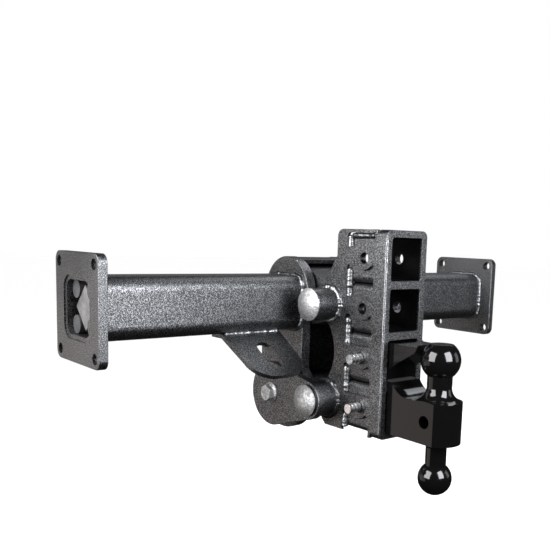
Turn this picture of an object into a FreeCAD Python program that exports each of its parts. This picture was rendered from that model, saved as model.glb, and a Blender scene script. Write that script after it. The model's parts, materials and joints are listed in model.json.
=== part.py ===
"""Torsion-sprung weight distribution hitch: a crossmember with a four-level receiver.

Frame: the origin is on the torsion axis, half-way along the crossmember. +X runs along the
crossmember, +Z is up, and the receiver's openings face -Y, the rear of the vehicle. All sizes
are in millimetres.

A square bar lies in the crossmember between rubber cords. The upper arm is keyed to the bar and
carries the receiver's upper pin. Two lower arms carry its lower pin. The four pivots form a
parallelogram, so the receiver rises and falls without tilting.
"""

import FreeCAD, Part
import math
import os

INCH = 25.4

# Crossmember: two lengths of square tube, each with an end plate for the vehicle's frame rail.
SPAN = 32.5 * INCH
TUBE = 3.5 * INCH
TUBE_WALL = 0.25 * INCH
TUBE_CORNER = 20.0
TUBE_INSET = 2.2
END_PLATE_Y = 146.0
END_PLATE_Z = 6.0 * INCH
END_PLATE_THICK = 0.5 * INCH
END_PLATE_CORNER = 13.0
FRAME_BOLT_Y = 117.5
FRAME_BOLT_Z = 124.0
FRAME_BOLT_HOLE = 15.5

# Torsion spring: a square bar turned by 45 degrees, with a rubber cord in each tube corner.
BAR = 1.75 * INCH
BAR_CORNER = 1.0
BAR_RECESS = 0.5 * INCH
CORD_RADIUS = 12.9
CORD_OFFSET = 24.85
CORD_START = 62.0
CORD_RECESS = 10.0

# Centre bracket: two profiled plates, with the cover and the lower pivot housing between them.
BRACKET_INNER = 40.5
BRACKET_OUTER = 58.0
ARCH_Y = 1.0
ARCH_Z = 17.0
ARCH_RADIUS = 57.5
NECK_FRONT = -44.5
BACK_EDGE = 68.0
BACK_EDGE_TOP_Z = -60.0
FOOT_RADIUS = 62.5
FOOT_BACK_SHIFT = 5.5
COVER_THICK = 0.25 * INCH
COVER_FRONT_ANGLE = 112.5
COVER_BOTTOM_Z = -150.0
HOUSING_RADIUS = 1.25 * INCH

# Linkage: pivot centres and the pins.
ARM_REACH = 3.75 * INCH
PIN_RISE = 3.4
PIVOT_DROP = 6.0 * INCH
PIN_RADIUS = 0.625 * INCH
PIN_HEAD_RADIUS = 25.5
PIN_HEAD_RIM = 1.8
PIN_HEAD_HEIGHT = 9.2
CAP_SPIGOT_RADIUS = 8.0
CAP_SPIGOT_LENGTH = 18.0
FIXED_CLEARANCE = 0.1
RUNNING_CLEARANCE = 0.05
OPEN_PIVOT_CLEARANCE = 0.325
SIDE_GAP = 0.3

# Upper arm: a hub with two journals, and an eye for the upper pin. The hub's outline is set
# forward of the axis and above it, so the arm stays deep where it leaves the bracket.
HUB_Y = -12.0
HUB_Z = 8.0
HUB_RADIUS = 50.0
HUB_HALF_WIDTH = 37.5
JOURNAL_RADIUS = 35.0
JOURNAL_END = 57.0
EYE_RADIUS = 27.0
EYE_BUSH_RADIUS = 19.5
EYE_BUSH_LENGTH = 32.0
HUB_BUSH_RADIUS = 38.5
HUB_BUSH_FLANGE_RADIUS = 44.0

# Lower arms, and the sleeve and through-bolt that they turn on.
LOWER_ARM_INNER = 72.8
LOWER_ARM_THICK = 0.5 * INCH
LOWER_ARM_BIG_RADIUS = 53.5
LOWER_ARM_BIG_DROP = 2.0
LOWER_ARM_SMALL_RADIUS = 31.0
LOWER_PIN_SHOULDER = 3.0
LOWER_PIN_SHOULDER_RADIUS = 21.0
SLEEVE_RADIUS = 0.75 * INCH
PIVOT_BUSH_RADIUS = 23.5
PIVOT_BUSH_LENGTH = 36.0
PIVOT_BUSH_FLANGE_RADIUS = 31.0
BUSH_FLANGE_THICK = 2.5
SPACER_RADIUS = 28.0
BOLT_RADIUS = 8.0
BOLT_CLEARANCE = 0.3
BOLT_HEX_FLATS = 24.0
BOLT_FLANGE_RADIUS = 17.0
BOLT_FLANGE_RIM = 1.5
BOLT_FLANGE_THICK = 5.0
BOLT_CHAMFER = 1.2
BOLT_HEAD_HEIGHT = 11.5
NUT_HEIGHT = 16.0
BOLT_TAIL = 6.0

# Receiver: four stacked square tubes, their front collar and two cheek plates.
OPENING = 2.5 * INCH
RECEIVER_WALL = 0.25 * INCH
LEVEL_PITCH = 3.0 * INCH
LEVEL_COUNT = 4
TOP_LEVEL_Z = 78.3
FACE_Y = -218.35
TUBE_REAR_Y = -137.0
TUBE_OUTER_CORNER = 10.0
TUBE_INNER_CORNER = 3.65
COLLAR_DEPTH = 20.6
COLLAR_CORNER = 10.0
CHEEK_THICK = 5.0
CHEEK_REAR_Y = -109.5
CHEEK_TOP_ROUND = 12.0
CHEEK_LOBE = 30.0
CHEEK_DIAGONAL = 33.3
CHEEK_WAIST_Y = -91.7
CHEEK_WAIST_HALF = 46.3
CHEEK_REAR_LOW = (-84.0, -185.5)
CHEEK_BOTTOM_Y = -92.0
HITCH_PIN_Y = -170.9
HITCH_PIN_HOLE = 17.5
WINDOW_FRONT_Y = -193.0
WINDOW_REAR_Y = -133.0
WINDOW_BELOW_HOLE = 11.0
WINDOW_ABOVE_HOLE = 18.0
WINDOW_CORNER = 4.0
HOLE_RING_RADIUS = 16.0

# Bosses welded to the cheeks.
UPPER_BOSS_RADIUS = 1.0 * INCH
UPPER_BOSS_END = 86.0
LOWER_BOSS_RADIUS = 28.0
BOSS_BORE = PIN_RADIUS + FIXED_CLEARANCE

# Hitch pins.
HITCH_PIN_RADIUS = 0.3125 * INCH
HITCH_PIN_LEFT_END = -66.0
HITCH_PIN_HEAD_RADIUS = 13.5
HITCH_PIN_HEAD_THICK = 8.0
HITCH_PIN_GROOVES = (-60.5, -53.5)
HITCH_PIN_GROOVE_WIDTH = 2.6
HITCH_PIN_GROOVE_DEPTH = 1.7

# Ball mount and pintle lock.
SHANK = 61.0
SHANK_CORNER = 3.0
SHANK_REAR_Y = -140.0
SHANK_END_CHAMFER = 2.0
SHANK_PIN_HOLE = 16.7
MOUNT_HALF_WIDTH = SHANK / 2
BALL_AXIS_Y = -294.56
BARREL_RADIUS = 35.0
BARREL_TOP = -121.5
BARREL_BOTTOM = -183.0
UPPER_BALL_RADIUS = 29.35
UPPER_BALL_Z = -62.5
UPPER_BALL_FLAT_Z = -39.0
UPPER_NECK_RADIUS = 18.5
FLARE_START_Z = -98.0
LOWER_BALL_RADIUS = 1.0 * INCH
LOWER_BALL_Z = -238.1
LOWER_NECK_RADIUS = 15.6
LOWER_NECK_FILLET = 8.0
CROSS_HOLE = 19.0
SADDLE_Y = -261.0
SADDLE_Z = -84.8
SADDLE_RADIUS = 37.7
SHOULDER_TOP = -103.0
LOCK_TIP_TOP_Y = -275.0
LOCK_TIP_LOW_Y = -270.5
LOCK_TIP_HEIGHT = 8.5
LOCK_UNDERSIDE_SLOPE = 30.2
LOCK_CUT_RADIUS = 35.0

# Safety-chain plates.
CHAIN_INNER_X = 96.5
CHAIN_WIDTH = 107.0
CHAIN_TAPER = 7.0
CHAIN_THICK = 0.25 * INCH
CHAIN_FLANGE_BACK = -4.0
CHAIN_BEND_Y = -32.0
CHAIN_SLOPE = 32.0
CHAIN_TONGUE = 99.5
CHAIN_CORNER = 38.0
CHAIN_SLOT_X = 146.5
CHAIN_SLOT_LENGTH = 59.0
CHAIN_SLOT_WIDTH = 26.0
CHAIN_SLOT_START = 22.6

# Edge rounding.
EDGE = 1.2
FINE_EDGE = 0.8

# Values that follow from the sizes above.
HALF_SPAN = SPAN / 2
PIN_Y = -ARM_REACH
UPPER_PIN_Z = PIN_RISE
LOWER_PIVOT_Z = -PIVOT_DROP
LOWER_PIN_Z = LOWER_PIVOT_Z + PIN_RISE
LEVEL_Z = [TOP_LEVEL_Z - LEVEL_PITCH * level for level in range(LEVEL_COUNT)]
RECEIVER_OUTER = OPENING + 2 * RECEIVER_WALL
CHEEK_INNER = RECEIVER_OUTER / 2
CHEEK_OUTER = CHEEK_INNER + CHEEK_THICK
STACK_TOP = LEVEL_Z[0] + RECEIVER_OUTER / 2
STACK_BOTTOM = LEVEL_Z[-1] - RECEIVER_OUTER / 2
COLLAR_TOP = STACK_TOP + CHEEK_THICK
COLLAR_BOTTOM = STACK_BOTTOM - CHEEK_THICK
COLLAR_BACK = FACE_Y + COLLAR_DEPTH
LOWER_ARM_OUTER = LOWER_ARM_INNER + LOWER_ARM_THICK
SIDES = (("left", -1), ("right", 1))


def vector(x, y, z):
    return FreeCAD.Vector(x, y, z)


def box(x_low, x_high, y_low, y_high, z_low, z_high):
    corner = vector(x_low, y_low, z_low)
    return Part.makeBox(x_high - x_low, y_high - y_low, z_high - z_low, corner)


def rod(x_low, x_high, y, z, radius):
    """A round bar along X."""
    return Part.makeCylinder(radius, x_high - x_low, vector(x_low, y, z), vector(1, 0, 0))


def ring(x_low, x_high, y, z, outer, inner):
    return rod(x_low, x_high, y, z, outer).cut(rod(x_low - 1, x_high + 1, y, z, inner))


def side_span(side, inner, outer):
    """The X limits of a piece that lies between two distances from the middle, on one side."""
    return min(side * inner, side * outer), max(side * inner, side * outer)


def rounded_bar(limits, axis, radius):
    """A box whose four edges along the given axis are rounded."""
    solid = box(*limits)
    direction = {"x": vector(1, 0, 0), "y": vector(0, 1, 0), "z": vector(0, 0, 1)}[axis]
    edges = [edge for edge in solid.Edges if abs(edge.tangentAt(0).dot(direction)) > 0.99]
    return solid.makeFillet(radius, edges)


def path(plane, start, moves):
    """A closed wire from (a, b) points. A move is (a, b) for a line, or (a, b, a, b) for an arc
    that goes through the first point to the second."""
    edges = []
    here = start
    for move in moves:
        end = move[-2:]
        if len(move) == 2:
            edges.append(Part.LineSegment(plane(*here), plane(*end)).toShape())
        else:
            edges.append(Part.Arc(plane(*here), plane(*move[:2]), plane(*end)).toShape())
        here = end
    if math.dist(here, start) > 1e-6:
        edges.append(Part.LineSegment(plane(*here), plane(*start)).toShape())
    return Part.Wire(edges)


def plate(x_low, x_high, start, moves):
    """A flat plate between two X values with an outline in Y and Z."""
    wire = path(lambda y, z: vector(x_low, y, z), start, moves)
    return Part.Face(wire).extrude(vector(x_high - x_low, 0, 0))


def tangent_points(y_one, z_one, r_one, y_two, z_two, r_two):
    """Where the two outer tangents touch two circles: upper pair, then lower pair."""
    span = math.hypot(y_two - y_one, z_two - z_one)
    heading = math.atan2(z_two - z_one, y_two - y_one)
    opening = math.acos((r_one - r_two) / span)
    pairs = []
    for angle in (heading - opening, heading + opening):
        y_step = math.cos(angle)
        z_step = math.sin(angle)
        one = (y_one + r_one * y_step, z_one + r_one * z_step)
        two = (y_two + r_two * y_step, z_two + r_two * z_step)
        pairs.append((one, two))
    return pairs


def link_plate(x_low, x_high, y_one, z_one, r_one, y_two, z_two, r_two):
    """Two round ends joined by their outer tangents."""
    upper, lower = tangent_points(y_one, z_one, r_one, y_two, z_two, r_two)
    heading = math.atan2(z_two - z_one, y_two - y_one)
    far_two = (y_two + r_two * math.cos(heading), z_two + r_two * math.sin(heading))
    far_one = (y_one - r_one * math.cos(heading), z_one - r_one * math.sin(heading))
    moves = [upper[1], far_two + lower[1], lower[0], far_one + upper[0]]
    return plate(x_low, x_high, upper[0], moves)


def edges_on_plane(solid, axis, value):
    """The edges of a solid that lie wholly on the plane where a coordinate has a value."""
    found = []
    for edge in solid.Edges:
        middle = edge.valueAt((edge.FirstParameter + edge.LastParameter) / 2)
        points = [vertex.Point for vertex in edge.Vertexes] + [middle]
        if all(abs(point[axis] - value) < 1e-4 for point in points):
            found.append(edge)
    return found


def largest_loop(solid, axis, value):
    """The edges of the outer wire of the face on a plane."""
    faces = []
    for face in solid.Faces:
        limits = face.BoundBox
        low = (limits.XMin, limits.YMin, limits.ZMin)[axis]
        high = (limits.XMax, limits.YMax, limits.ZMax)[axis]
        if abs(low - value) < 1e-4 and abs(high - value) < 1e-4:
            faces.append(face)
    face = max(faces, key=lambda item: item.Area)
    return list(face.OuterWire.Edges)


def soften(solid, radius, axis, *values):
    """Round the outer edges of the flat faces at the given coordinate values."""
    edges = []
    for value in values:
        edges += largest_loop(solid, axis, value)
    return solid.makeFillet(radius, edges)


def hexagon(x_low, x_high, y, z, flats):
    """A hexagonal prism along X that stands on a corner."""
    corner = flats / math.sqrt(3)
    points = []
    for index in range(7):
        angle = math.radians(60 * index + 30)
        points.append(vector(x_low, y + corner * math.cos(angle), z + corner * math.sin(angle)))
    return Part.Face(Part.makePolygon(points)).extrude(vector(x_high - x_low, 0, 0))


# ---------------------------------------------------------------- crossmember

def cross_tube(side):
    """Square tube from the bracket plate to just inside the end plate's outer face."""
    low, high = side_span(side, BRACKET_OUTER, HALF_SPAN - TUBE_INSET)
    half = TUBE / 2
    hole = half - TUBE_WALL
    outer = rounded_bar((low, high, -half, half, -half, half), "x", TUBE_CORNER)
    limits = (low - 1, high + 1, -hole, hole, -hole, hole)
    return outer.cut(rounded_bar(limits, "x", TUBE_CORNER - TUBE_WALL))


def end_plate(side):
    """Bolt-on plate with a window that the tube passes through."""
    low, high = side_span(side, HALF_SPAN - END_PLATE_THICK, HALF_SPAN)
    half_y = END_PLATE_Y / 2
    half_z = END_PLATE_Z / 2
    half = TUBE / 2
    body = rounded_bar((low, high, -half_y, half_y, -half_z, half_z), "x", END_PLATE_CORNER)
    body = soften(body, EDGE, 0, low, high)
    body = body.cut(rounded_bar((low - 1, high + 1, -half, half, -half, half), "x", TUBE_CORNER))
    for y in (-FRAME_BOLT_Y / 2, FRAME_BOLT_Y / 2):
        for z in (-FRAME_BOLT_Z / 2, FRAME_BOLT_Z / 2):
            body = body.cut(rod(low - 1, high + 1, y, z, FRAME_BOLT_HOLE / 2))
    return body


def bracket_plate(side):
    """Profiled plate: an arch round the torsion axis, a neck and a round foot at the pivot."""
    low, high = side_span(side, BRACKET_INNER, BRACKET_OUTER)
    neck_top = ARCH_Z - math.sqrt(ARCH_RADIUS ** 2 - (NECK_FRONT - ARCH_Y) ** 2)
    front_foot = LOWER_PIVOT_Z + math.sqrt(FOOT_RADIUS ** 2 - NECK_FRONT ** 2)
    foot_bottom = LOWER_PIVOT_Z - FOOT_RADIUS
    slant = FOOT_RADIUS * math.sqrt(0.5)
    moves = [
        (ARCH_Y, ARCH_Z + ARCH_RADIUS, ARCH_Y + ARCH_RADIUS, ARCH_Z),
        (BACK_EDGE, BACK_EDGE_TOP_Z),
        (BACK_EDGE, LOWER_PIVOT_Z),
        (FOOT_BACK_SHIFT + slant, LOWER_PIVOT_Z - slant, FOOT_BACK_SHIFT, foot_bottom),
        (0, foot_bottom),
        (-slant, LOWER_PIVOT_Z - slant, NECK_FRONT, front_foot),
    ]
    body = plate(low, high, (NECK_FRONT, neck_top), moves)
    body = soften(body, EDGE, 0, low, high)
    body = body.cut(rod(low - 1, high + 1, 0, 0, HUB_BUSH_RADIUS))
    return body.cut(rod(low - 1, high + 1, 0, LOWER_PIVOT_Z, PIVOT_BUSH_RADIUS))


def arch_point(radius, degrees):
    angle = math.radians(degrees)
    return ARCH_Y + radius * math.cos(angle), ARCH_Z + radius * math.sin(angle)


def bracket_cover():
    """Plate that closes the bracket over the arch and down its back."""
    outer = ARCH_RADIUS - FINE_EDGE
    inner = outer - COVER_THICK
    middle = COVER_FRONT_ANGLE / 2
    back = BACK_EDGE - FINE_EDGE
    moves = [
        arch_point(outer, middle) + arch_point(outer, 0),
        (back, BACK_EDGE_TOP_Z),
        (back, COVER_BOTTOM_Z),
        (back - COVER_THICK, COVER_BOTTOM_Z),
        (back - COVER_THICK, BACK_EDGE_TOP_Z),
        arch_point(inner, 0),
        arch_point(inner, middle) + arch_point(inner, COVER_FRONT_ANGLE),
    ]
    start = arch_point(outer, COVER_FRONT_ANGLE)
    return plate(-BRACKET_INNER, BRACKET_INNER, start, moves)


def pivot_housing():
    """Tube between the bracket plates that holds the lower pivot's bushes."""
    return ring(-BRACKET_INNER, BRACKET_INNER, 0, LOWER_PIVOT_Z, HOUSING_RADIUS, PIVOT_BUSH_RADIUS)


def hub_bush(side):
    """Flanged plastic bush in the bracket plate, round the upper arm's journal."""
    bore = JOURNAL_RADIUS + RUNNING_CLEARANCE
    low, high = side_span(side, BRACKET_INNER, BRACKET_OUTER - 1)
    sleeve = ring(low, high, 0, 0, HUB_BUSH_RADIUS, bore)
    low, high = side_span(side, BRACKET_INNER - BUSH_FLANGE_THICK, BRACKET_INNER)
    return sleeve.fuse(ring(low, high, 0, 0, HUB_BUSH_FLANGE_RADIUS, bore)).removeSplitter()


def pivot_bush(side):
    """Flanged bush in the bracket plate and housing, round the lower arms' sleeve."""
    bore = SLEEVE_RADIUS + RUNNING_CLEARANCE
    low, high = side_span(side, BRACKET_OUTER - PIVOT_BUSH_LENGTH, BRACKET_OUTER)
    sleeve = ring(low, high, 0, LOWER_PIVOT_Z, PIVOT_BUSH_RADIUS, bore)
    low, high = side_span(side, BRACKET_OUTER, BRACKET_OUTER + BUSH_FLANGE_THICK)
    flange = ring(low, high, 0, LOWER_PIVOT_Z, PIVOT_BUSH_FLANGE_RADIUS, bore)
    return sleeve.fuse(flange).removeSplitter()


def rubber_cords(side):
    """Four rubber cords between the bar's flats and the tube's corners."""
    low, high = side_span(side, CORD_START, HALF_SPAN - CORD_RECESS)
    cords = []
    for y in (-CORD_OFFSET, CORD_OFFSET):
        for z in (-CORD_OFFSET, CORD_OFFSET):
            cords.append(rod(low, high, y, z, CORD_RADIUS))
    return Part.makeCompound(cords)


def chain_tongue(side):
    """The tongue, made flat along -Y from the origin: tapered outside, round-cornered and slotted."""
    inner = side * CHAIN_INNER_X
    outer = side * (CHAIN_INNER_X + CHAIN_WIDTH)
    tapered = outer - side * CHAIN_TAPER
    inner_arc = inner + side * CHAIN_CORNER
    outer_arc = tapered - side * CHAIN_CORNER
    corner_y = -CHAIN_TONGUE + CHAIN_CORNER
    inset = CHAIN_CORNER * (1 - math.sqrt(0.5))
    outline = path(
        lambda x, y: vector(x, y, 0),
        (outer, 0),
        [
            (tapered, corner_y),
            (tapered - side * inset, -CHAIN_TONGUE + inset, outer_arc, -CHAIN_TONGUE),
            (inner_arc, -CHAIN_TONGUE),
            (inner + side * inset, -CHAIN_TONGUE + inset, inner, corner_y),
            (inner, 0),
        ],
    )
    body = Part.Face(outline).extrude(vector(0, 0, -CHAIN_THICK))
    radius = CHAIN_SLOT_WIDTH / 2
    x = side * CHAIN_SLOT_X
    near = -CHAIN_SLOT_START - radius
    far = -CHAIN_SLOT_START - CHAIN_SLOT_LENGTH + radius
    slot = box(x - radius, x + radius, far, near, -CHAIN_THICK - 1, 1)
    for y in (near, far):
        slot = slot.fuse(Part.makeCylinder(radius, CHAIN_THICK + 2, vector(x, y, -CHAIN_THICK - 1)))
    return body.cut(slot)


def chain_plate(side):
    """Bent plate under the tube with a slot for the safety chain's hook."""
    low, high = side_span(side, CHAIN_INNER_X, CHAIN_INNER_X + CHAIN_WIDTH)
    top = -TUBE / 2
    flange = box(low, high, CHAIN_BEND_Y, CHAIN_FLANGE_BACK, top - CHAIN_THICK, top)
    bend_centre = (CHAIN_BEND_Y, top - CHAIN_THICK)
    tongue = chain_tongue(side)
    tongue.translate(vector(0, CHAIN_BEND_Y, top))
    hinge = vector(0, bend_centre[0], bend_centre[1])
    tongue.rotate(hinge, vector(1, 0, 0), CHAIN_SLOPE)
    angle = math.radians(90 + CHAIN_SLOPE)
    half_angle = math.radians(90 + CHAIN_SLOPE / 2)

    def bend_point(turn):
        return (bend_centre[0] + CHAIN_THICK * math.cos(turn),
                bend_centre[1] + CHAIN_THICK * math.sin(turn))

    moves = [bend_point(math.pi / 2), bend_point(half_angle) + bend_point(angle)]
    bend = plate(low, high, bend_centre, moves)
    return flange.fuse([bend, tongue]).removeSplitter()


# ---------------------------------------------------------------- upper arm

def torsion_bar():
    """Square bar through the whole crossmember, standing on its corner."""
    half = BAR / 2
    length = HALF_SPAN - BAR_RECESS
    body = rounded_bar((-length, length, -half, half, -half, half), "x", BAR_CORNER)
    body.rotate(vector(0, 0, 0), vector(1, 0, 0), 45)
    return body


def upper_arm():
    """Hub, journals and eye in one forging, with a square hole for the bar."""
    width = HUB_HALF_WIDTH
    body = link_plate(-width, width, HUB_Y, HUB_Z, HUB_RADIUS, PIN_Y, UPPER_PIN_Z, EYE_RADIUS)
    body = soften(body, EDGE, 0, -width, width)
    body = body.fuse(rod(-JOURNAL_END, JOURNAL_END, 0, 0, JOURNAL_RADIUS)).removeSplitter()
    body = body.cut(torsion_bar())
    return body.cut(rod(-width - 1, width + 1, PIN_Y, UPPER_PIN_Z, EYE_BUSH_RADIUS))


def eye_bush(side):
    """Plastic bush in the upper arm's eye, round the upper pin."""
    low, high = side_span(side, HUB_HALF_WIDTH - EYE_BUSH_LENGTH, HUB_HALF_WIDTH)
    return ring(low, high, PIN_Y, UPPER_PIN_Z, EYE_BUSH_RADIUS, PIN_RADIUS + RUNNING_CLEARANCE)


# ---------------------------------------------------------------- receiver

def receiver_tube(level_z):
    """One level of the receiver, with its hitch pin holes."""
    half = RECEIVER_OUTER / 2
    hole = OPENING / 2
    outer = rounded_bar((-half, half, COLLAR_BACK, TUBE_REAR_Y, level_z - half, level_z + half),
                        "y", TUBE_OUTER_CORNER)
    inner = rounded_bar((-hole, hole, COLLAR_BACK - 1, TUBE_REAR_Y + 1, level_z - hole, level_z + hole),
                        "y", TUBE_INNER_CORNER)
    body = outer.cut(inner)
    return body.cut(rod(-half - 1, half + 1, HITCH_PIN_Y, level_z, HITCH_PIN_HOLE / 2))


def receiver_collar():
    """Front collar: one deep face with an opening for each level."""
    body = rounded_bar((-CHEEK_OUTER, CHEEK_OUTER, FACE_Y, COLLAR_BACK, COLLAR_BOTTOM, COLLAR_TOP),
                       "y", COLLAR_CORNER)
    body = soften(body, EDGE, 1, FACE_Y)
    hole = OPENING / 2
    for level_z in LEVEL_Z:
        limits = (-hole, hole, FACE_Y - 1, COLLAR_BACK + 1, level_z - hole, level_z + hole)
        body = body.cut(rounded_bar(limits, "y", TUBE_INNER_CORNER))
    return body.makeChamfer(FINE_EDGE, opening_edges(body))


def opening_edges(body):
    """The front edges of the collar's openings."""
    outer = largest_loop(body, 1, FACE_Y)
    front = edges_on_plane(body, 1, FACE_Y)
    return [edge for edge in front if not any(edge.isSame(other) for other in outer)]


def cheek_outline():
    """Start point and moves of a cheek plate's outline, from its lower front corner."""
    diagonal = math.radians(CHEEK_DIAGONAL)
    lobe_top = (PIN_Y + CHEEK_LOBE * math.cos(diagonal), UPPER_PIN_Z + CHEEK_LOBE * math.sin(diagonal))
    run = lobe_top[0] - CHEEK_REAR_Y
    diagonal_top = lobe_top[1] + run / math.tan(diagonal)
    waist_middle = (UPPER_PIN_Z + LOWER_PIN_Z) / 2
    waist_top = (CHEEK_WAIST_Y, waist_middle + CHEEK_WAIST_HALF)
    waist_bottom = (CHEEK_WAIST_Y, waist_middle - CHEEK_WAIST_HALF)
    tail = math.atan2(CHEEK_REAR_LOW[1] - LOWER_PIN_Z, CHEEK_REAR_LOW[0] - PIN_Y)
    reach = math.dist(CHEEK_REAR_LOW, (PIN_Y, LOWER_PIN_Z))
    touch = tail + math.acos(CHEEK_LOBE / reach)
    lobe_low = (PIN_Y + CHEEK_LOBE * math.cos(touch), LOWER_PIN_Z + CHEEK_LOBE * math.sin(touch))
    corner_step = CHEEK_TOP_ROUND * (1 - math.sqrt(0.5))
    moves = [
        (COLLAR_BACK, COLLAR_TOP),
        (CHEEK_REAR_Y - CHEEK_TOP_ROUND, COLLAR_TOP),
        (CHEEK_REAR_Y - corner_step, COLLAR_TOP - corner_step,
         CHEEK_REAR_Y, COLLAR_TOP - CHEEK_TOP_ROUND),
        (CHEEK_REAR_Y, diagonal_top),
        lobe_top,
        (PIN_Y + CHEEK_LOBE, UPPER_PIN_Z) + waist_top,
        (CHEEK_REAR_Y, waist_middle) + waist_bottom,
        (PIN_Y + CHEEK_LOBE, LOWER_PIN_Z) + lobe_low,
        CHEEK_REAR_LOW,
        (CHEEK_BOTTOM_Y, COLLAR_BOTTOM),
    ]
    return (COLLAR_BACK, COLLAR_BOTTOM), moves


def cheek_windows(low, high):
    """Openings over the tube joints, each notched round the hitch pin hole above it."""
    windows = []
    tops = [STACK_TOP] + [level_z - WINDOW_BELOW_HOLE for level_z in LEVEL_Z]
    bottoms = [level_z + WINDOW_ABOVE_HOLE for level_z in LEVEL_Z] + [COLLAR_BOTTOM - 1]
    for top, bottom in zip(tops, bottoms):
        limits = (low - 1, high + 1, WINDOW_FRONT_Y, WINDOW_REAR_Y, bottom, top)
        windows.append(rounded_bar(limits, "x", WINDOW_CORNER))
    rings = [rod(low - 2, high + 2, HITCH_PIN_Y, level_z, HOLE_RING_RADIUS) for level_z in LEVEL_Z]
    return windows[0].fuse(windows[1:]).cut(rings[0].fuse(rings[1:]))


def cheek(side):
    """Side plate that joins the tubes and carries the bosses for both pins."""
    low, high = side_span(side, CHEEK_INNER, CHEEK_OUTER)
    start, moves = cheek_outline()
    body = plate(low, high, start, moves)
    body = body.cut(cheek_windows(low, high))
    for level_z in LEVEL_Z:
        body = body.cut(rod(low - 1, high + 1, HITCH_PIN_Y, level_z, HITCH_PIN_HOLE / 2))
    for pin_z in (UPPER_PIN_Z, LOWER_PIN_Z):
        body = body.cut(rod(low - 1, high + 1, PIN_Y, pin_z, BOSS_BORE))
    return body


def boss(side, pin_z, radius, end):
    low, high = side_span(side, CHEEK_OUTER, end)
    body = rod(low, high, PIN_Y, pin_z, radius)
    body = body.makeFillet(EDGE, edges_on_plane(body, 0, side * end))
    return body.cut(rod(low - 1, high + 1, PIN_Y, pin_z, BOSS_BORE))


def dome(side, seat, pin_z):
    """Round head with a short rim and a shallow dome, outwards from its seat."""
    rise = PIN_HEAD_HEIGHT - PIN_HEAD_RIM
    sphere = (PIN_HEAD_RADIUS ** 2 + rise ** 2) / (2 * rise)
    low, high = side_span(side, seat, seat + PIN_HEAD_HEIGHT)
    centre = vector(side * (seat + PIN_HEAD_HEIGHT - sphere), PIN_Y, pin_z)
    return rod(low, high, PIN_Y, pin_z, PIN_HEAD_RADIUS).common(Part.makeSphere(sphere, centre))


def pin_head(side, seat, pin_z, shoulder):
    """Domed head, held off its seat by a narrower shoulder when that has a thickness."""
    head = dome(side, seat + shoulder, pin_z)
    if not shoulder:
        return head
    low, high = side_span(side, seat, seat + shoulder)
    return head.fuse(rod(low, high, PIN_Y, pin_z, LOWER_PIN_SHOULDER_RADIUS))


def linkage_pin(seat, pin_z, shoulder=0):
    """Pin with a domed head on the left and a blind hole for the cap's spigot on the right."""
    shaft = rod(-seat, seat, PIN_Y, pin_z, PIN_RADIUS)
    hole = rod(seat - CAP_SPIGOT_LENGTH - 1, seat + 1, PIN_Y, pin_z, CAP_SPIGOT_RADIUS + FIXED_CLEARANCE)
    return shaft.fuse(pin_head(-1, seat, pin_z, shoulder)).removeSplitter().cut(hole)


def linkage_pin_cap(seat, pin_z, shoulder=0):
    """Domed cap that closes the pin's right end."""
    spigot = rod(seat - CAP_SPIGOT_LENGTH, seat, PIN_Y, pin_z, CAP_SPIGOT_RADIUS)
    return pin_head(1, seat, pin_z, shoulder).fuse(spigot).removeSplitter()


def shank_centre(level_z):
    """A shank rests on the floor of its opening."""
    return level_z - OPENING / 2 + SHANK / 2


def shank(level_z):
    half = SHANK / 2
    centre = shank_centre(level_z)
    limits = (-half, half, FACE_Y - SIDE_GAP, SHANK_REAR_Y, centre - half, centre + half)
    body = rounded_bar(limits, "y", SHANK_CORNER)
    return body.makeChamfer(SHANK_END_CHAMFER, edges_on_plane(body, 1, SHANK_REAR_Y))


def turned_balls():
    """Both balls, their necks and the barrel between them, as one turned profile."""
    flat = math.sqrt(UPPER_BALL_RADIUS ** 2 - (UPPER_BALL_FLAT_Z - UPPER_BALL_Z) ** 2)
    upper_joint = UPPER_BALL_Z - math.sqrt(UPPER_BALL_RADIUS ** 2 - UPPER_NECK_RADIUS ** 2)
    lower_joint = LOWER_BALL_Z + math.sqrt(LOWER_BALL_RADIUS ** 2 - LOWER_NECK_RADIUS ** 2)
    lower_bottom = LOWER_BALL_Z - LOWER_BALL_RADIUS
    slack = 1 - math.sqrt(0.5)
    flare_r = UPPER_NECK_RADIUS + slack * (BARREL_RADIUS - UPPER_NECK_RADIUS)
    flare_z = BARREL_TOP + slack * (FLARE_START_Z - BARREL_TOP)
    fillet = LOWER_NECK_FILLET
    inset = slack * fillet
    moves = [
        (flat, UPPER_BALL_FLAT_Z),
        (UPPER_BALL_RADIUS, UPPER_BALL_Z, UPPER_NECK_RADIUS, upper_joint),
        (UPPER_NECK_RADIUS, FLARE_START_Z),
        (flare_r, flare_z, BARREL_RADIUS, BARREL_TOP),
        (BARREL_RADIUS, BARREL_BOTTOM),
        (LOWER_NECK_RADIUS + fillet, BARREL_BOTTOM),
        (LOWER_NECK_RADIUS + inset, BARREL_BOTTOM - inset, LOWER_NECK_RADIUS, BARREL_BOTTOM - fillet),
        (LOWER_NECK_RADIUS, lower_joint),
        (LOWER_BALL_RADIUS, LOWER_BALL_Z, 0, lower_bottom),
    ]
    outline = path(lambda r, z: vector(0, BALL_AXIS_Y - r, z), (0, UPPER_BALL_FLAT_Z), moves)
    body = Part.Face(outline).revolve(vector(0, BALL_AXIS_Y, 0), vector(0, 0, 1), 360)
    width = MOUNT_HALF_WIDTH
    reach = BARREL_RADIUS + 1
    slab = box(-width, width, BALL_AXIS_Y - reach, BALL_AXIS_Y + reach, lower_bottom - 1, 0)
    return body.common(slab)


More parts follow.
